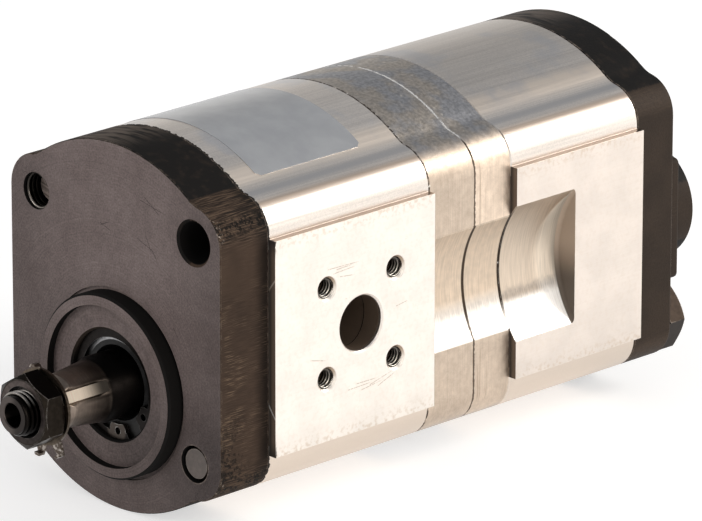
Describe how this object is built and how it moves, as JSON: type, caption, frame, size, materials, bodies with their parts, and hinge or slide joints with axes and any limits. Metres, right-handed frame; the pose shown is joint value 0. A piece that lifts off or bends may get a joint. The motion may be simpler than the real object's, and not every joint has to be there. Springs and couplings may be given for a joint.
{
  "type": "hydraulic gear pump",
  "caption": "Tandem hydraulic gear pump: square flange with centring pilot, tapered shaft with nut, two aluminium bodies, a flanged pressure port and a rear cover with a boss.",
  "frame": {"origin": "drive shaft axis where it crosses the mounting face of the front cover", "axes": "+Y from the mounting face to the rear cover, +Z from the drive gears up to the driven gears, +X towards the pressure port"},
  "size_m": [0.0848, 0.214, 0.1],
  "materials": {
    "cover_iron": "dark satin coating over machined cast iron",
    "body_aluminium": "extruded and brushed along its length",
    "plate_aluminium": "cast, slightly rough",
    "bolt_steel": "black oxide",
    "pin_steel": "ground steel",
    "circlip_steel": "phosphated spring steel",
    "case_steel": "black coated pressed steel",
    "seal_rubber": "nitrile rubber",
    "shaft_steel": "ground and case hardened",
    "gear_steel": "ground and case hardened",
    "coupling_steel": "turned steel",
    "key_steel": "bright drawn steel",
    "washer_steel": "bright zinc plated",
    "nut_steel": "black oxide",
    "block_aluminium": "machined",
    "bush_bronze": "bronze with a low-friction lining"
  },
  "bodies": {
    "housing": {"dowel_pins": "pin_steel", "front_body": "body_aluminium", "front_cover": "cover_iron", "front_plate": "plate_aluminium", "front_stage_front_bearing_block": "block_aluminium", "front_stage_front_block_seal": "seal_rubber", "front_stage_front_bushes": "bush_bronze", "front_stage_front_section_seal": "seal_rubber", "front_stage_rear_bearing_block": "block_aluminium", "front_stage_rear_block_seal": "seal_rubber", "front_stage_rear_bushes": "bush_bronze", "front_stage_rear_section_seal": "seal_rubber", "garter_spring": "pin_steel", "outlet_seal": "seal_rubber", "plate_seal": "seal_rubber", "rear_body": "body_aluminium", "rear_cover": "cover_iron", "rear_plate": "plate_aluminium", "rear_stage_front_bearing_block": "block_aluminium", "rear_stage_front_block_seal": "seal_rubber", "rear_stage_front_bushes": "bush_bronze", "rear_stage_front_section_seal": "seal_rubber", "rear_stage_rear_bearing_block": "block_aluminium", "rear_stage_rear_block_seal": "seal_rubber", "rear_stage_rear_bushes": "bush_bronze", "rear_stage_rear_section_seal": "seal_rubber", "seal_case": "case_steel", "seal_circlip": "circlip_steel", "seal_lip": "seal_rubber", "tie_bolt_lower": "bolt_steel", "tie_bolt_upper": "bolt_steel"},
    "drive_train": {"drive_shaft_front": "shaft_steel", "woodruff_key": "key_steel", "tab_washer": "washer_steel", "shaft_nut": "nut_steel", "drive_coupling": "coupling_steel", "drive_shaft_rear": "shaft_steel"},
    "front_driven": {"front_stage_driven_gear": "gear_steel"},
    "rear_driven": {"rear_stage_driven_gear": "gear_steel"}
  },
  "joints": [
    {"name": "drive_shaft_spin", "type": "hinge", "parent": "housing", "child": "drive_train", "pos_m": [0, 0, 0], "axis": [0, 1, 0], "continuous": true},
    {"name": "front_driven_spin", "type": "hinge", "parent": "housing", "child": "front_driven", "pos_m": [0, 0, 0.031], "axis": [0, 1, 0], "continuous": true},
    {"name": "rear_driven_spin", "type": "hinge", "parent": "housing", "child": "rear_driven", "pos_m": [0, 0, 0.031], "axis": [0, 1, 0], "continuous": true}
  ],
  "couplings": [
    {"joint": "front_driven_spin", "follows": "drive_shaft_spin", "ratio": -1},
    {"joint": "rear_driven_spin", "follows": "drive_shaft_spin", "ratio": -1}
  ]
}
